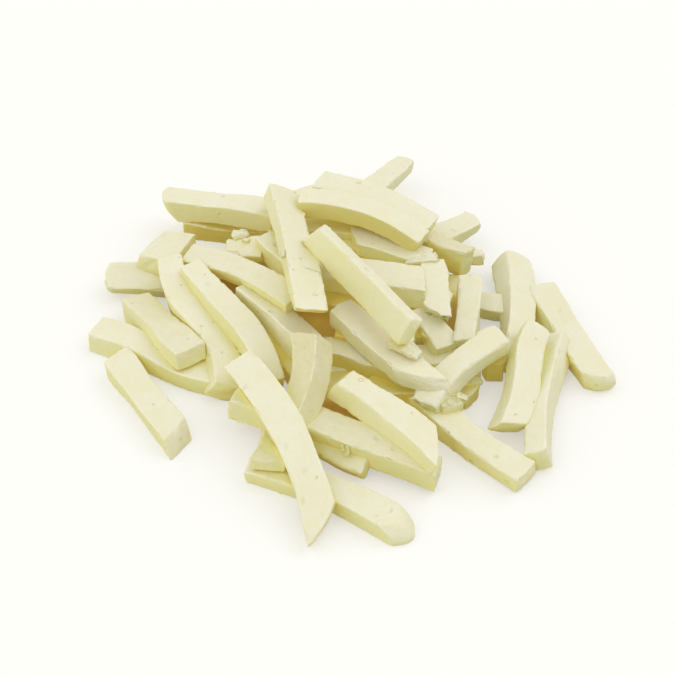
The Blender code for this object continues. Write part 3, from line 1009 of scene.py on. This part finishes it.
cut_cheese = moist_cheese()
print(cut_cheese.name, "has", len(cut_cheese.node_tree.nodes), "nodes")

# %% [markdown]
# ## Standing in for the imported heap
#
# The imported model holds the heap as one solid. The strips take its place: each piece rides on the
# model's only body and replaces its only node.

# %% Put the strips in the heap's place
for piece in strips:
    piece.data.materials.append(cut_cheese)
    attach(piece, "root")
    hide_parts("heap")
print(len(strips), "pieces of strips stand for the heap")

# %% [markdown]
# ## The studio
#
# The floor is plain and white. A broad key lamp, high and to the right, lights the tops and
# the right-hand sides. A fill lamp, lower and to the left, lifts the sides that look left
# and to the viewer, and an even room softens the shadows. Area lamps would do, but they
# light the near side of the floor more than the far one, while a sun with a wide angle is
# as soft and lights the floor evenly. The camera sees a white floor, but the light that
# it throws back up is weaker and warmer, as from the cloth or board that such a heap lies
# on. The camera's white is part paint and part light of its own, so that the shadows on
# it stay faint.

# %% Light it
FLOOR_SIZE = 4000.0
FLOOR_SEEN = (0.95, 0.95, 0.95, 1)
FLOOR_EVENNESS = 0.42
FLOOR_GLOW = (0.72, 0.71, 0.63, 1)
KEY_ANGLE = math.radians(60)
KEY_STRENGTH = 0.74
FILL_SIDE = Vector((-0.76, -0.22, 0.45)).normalized()
FILL_ANGLE = math.radians(100)
FILL_STRENGTH = 0.85
ROOM_COLOUR = (1.0, 0.98, 0.88, 1)
ROOM_LIGHT = 0.755


def floor_paper():
    """Matt paper that looks white but throws back a weaker, warmer light."""
    paper = bpy.data.materials.new("floor_paper")
    paper.use_nodes = True
    nodes, link = paper.node_tree.nodes, paper.node_tree.links.new
    nodes.clear()
    matt = nodes.new("ShaderNodeBsdfDiffuse")
    matt.inputs["Color"].default_value = FLOOR_SEEN
    even = nodes.new("ShaderNodeEmission")
    seen = nodes.new("ShaderNodeMixShader")
    seen.inputs["Fac"].default_value = FLOOR_EVENNESS
    link(matt.outputs["BSDF"], seen.inputs[1])
    link(even.outputs["Emission"], seen.inputs[2])
    glow = nodes.new("ShaderNodeBsdfDiffuse")
    glow.inputs["Color"].default_value = FLOOR_GLOW
    ray = nodes.new("ShaderNodeLightPath")
    blend = nodes.new("ShaderNodeMixShader")
    link(ray.outputs["Is Camera Ray"], blend.inputs["Fac"])
    link(glow.outputs["BSDF"], blend.inputs[1])
    link(seen.outputs["Shader"], blend.inputs[2])
    link(blend.outputs["Shader"], nodes.new("ShaderNodeOutputMaterial").inputs["Surface"])
    return paper


def plain_floor():
    """A wide pale floor under the heap."""
    plane = bmesh.new()
    bmesh.ops.create_grid(plane, x_segments=1, y_segments=1, size=FLOOR_SIZE / 2 * MM)
    mesh = bpy.data.meshes.new("floor")
    plane.to_mesh(mesh)
    plane.free()
    mesh.materials.append(floor_paper())
    floor = bpy.data.objects.new("floor", mesh)
    bpy.context.scene.collection.objects.link(floor)


def soft_lamp(name, side, angle, strength):
    """A broad soft lamp that shines from the given side of the room."""
    lamp = bpy.data.lights.new(name, "SUN")
    lamp.angle = angle
    lamp.energy = strength
    stand = bpy.data.objects.new(name, lamp)
    stand.location = side
    stand.rotation_euler = (-side).to_track_quat("-Z", "Y").to_euler()
    bpy.context.scene.collection.objects.link(stand)


def even_room():
    """An even light from all around."""
    world = bpy.data.worlds.new("room")
    world.use_nodes = True
    sky = world.node_tree.nodes["Background"]
    sky.inputs["Color"].default_value = ROOM_COLOUR
    sky.inputs["Strength"].default_value = ROOM_LIGHT
    bpy.context.scene.world = world


plain_floor()
soft_lamp("key", BRIGHT_SIDE, KEY_ANGLE, KEY_STRENGTH)
soft_lamp("fill", FILL_SIDE, FILL_ANGLE, FILL_STRENGTH)
even_room()
bpy.context.scene.view_settings.view_transform = "Standard"
for lamp, side in (("key", BRIGHT_SIDE), ("fill", FILL_SIDE)):
    print("the", lamp, "lamp stands", round(math.degrees(math.asin(side.z))), "degrees high")
